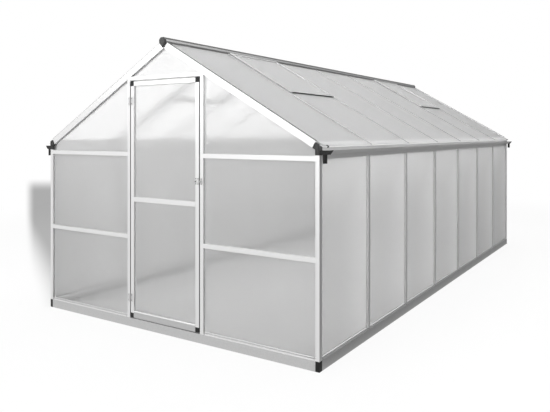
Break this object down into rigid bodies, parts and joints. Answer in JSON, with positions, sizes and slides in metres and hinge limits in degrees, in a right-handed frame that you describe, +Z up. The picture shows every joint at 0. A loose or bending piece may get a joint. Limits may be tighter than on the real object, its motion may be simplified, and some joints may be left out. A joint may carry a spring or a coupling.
{
  "type": "polycarbonate greenhouse",
  "caption": "Walk-in greenhouse with an aluminium frame, frosted twin-wall sheets, a pitched roof with vents, side gutters and a hinged front door on a steel base.",
  "frame": {"origin": "on the floor, in the middle of the plan", "axes": "+Z up, +Y from the front gable with the door towards the back gable, +X towards the right wall seen from the front"},
  "size_m": [2.6286, 4.242, 2],
  "materials": {
    "mill_aluminium": "mill-finish extruded aluminium, satin",
    "ridge_aluminium": "mill-finish extruded aluminium ridge, satin",
    "galvanised_steel": "galvanised folded steel sheet",
    "polycarbonate_wall": "frosted twin-wall polycarbonate, upright flutes",
    "polycarbonate_roof": "frosted twin-wall polycarbonate, flutes down the slope",
    "black_plastic": "black moulded plastic",
    "grey_plastic": "dark grey moulded plastic",
    "rubber_seal": "extruded rubber seal",
    "fitting_steel": "zinc-plated pressed steel"
  },
  "bodies": {
    "root": {"base_front": "galvanised_steel", "base_back": "galvanised_steel", "base_left": "galvanised_steel", "base_right": "galvanised_steel", "foot_caps": "black_plastic", "front_sills": "mill_aluminium", "back_sill": "mill_aluminium", "left_sill": "mill_aluminium", "right_sill": "mill_aluminium", "corner_posts": "mill_aluminium", "left_wall_bars": "mill_aluminium", "right_wall_bars": "mill_aluminium", "door_posts": "mill_aluminium", "door_header": "mill_aluminium", "front_rails": "mill_aluminium", "back_posts": "mill_aluminium", "back_rails": "mill_aluminium", "front_rafters": "mill_aluminium", "back_rafters": "mill_aluminium", "left_eave_gutter": "mill_aluminium", "right_eave_gutter": "mill_aluminium", "eave_knuckles": "grey_plastic", "gutter_outlets": "black_plastic", "ridge_beam": "ridge_aluminium", "ridge_end_caps": "grey_plastic", "left_roof_bars": "mill_aluminium", "right_roof_bars": "mill_aluminium", "vent_sills": "mill_aluminium", "vent_frames": "mill_aluminium", "vent_sheets": "polycarbonate_roof", "front_sheets": "polycarbonate_wall", "back_sheets": "polycarbonate_wall", "left_wall_sheets": "polycarbonate_wall", "right_wall_sheets": "polycarbonate_wall", "left_roof_sheets": "polycarbonate_roof", "right_roof_sheets": "polycarbonate_roof", "frame_hinge_leaves": "fitting_steel", "hinge_pins": "fitting_steel", "latch_keeper": "fitting_steel"},
    "door": {"door_stiles": "mill_aluminium", "door_rails": "mill_aluminium", "door_corner_caps": "black_plastic", "door_seal": "rubber_seal", "door_sheets": "polycarbonate_wall", "door_hinge_leaves": "fitting_steel", "door_latch": "fitting_steel"}
  },
  "joints": [
    {"name": "door_hinge", "type": "hinge", "parent": "root", "child": "door", "pos_m": [-0.329, -2.1115, 0.891], "axis": [0, 0, -1], "range_deg": [0, 130]}
  ]
}
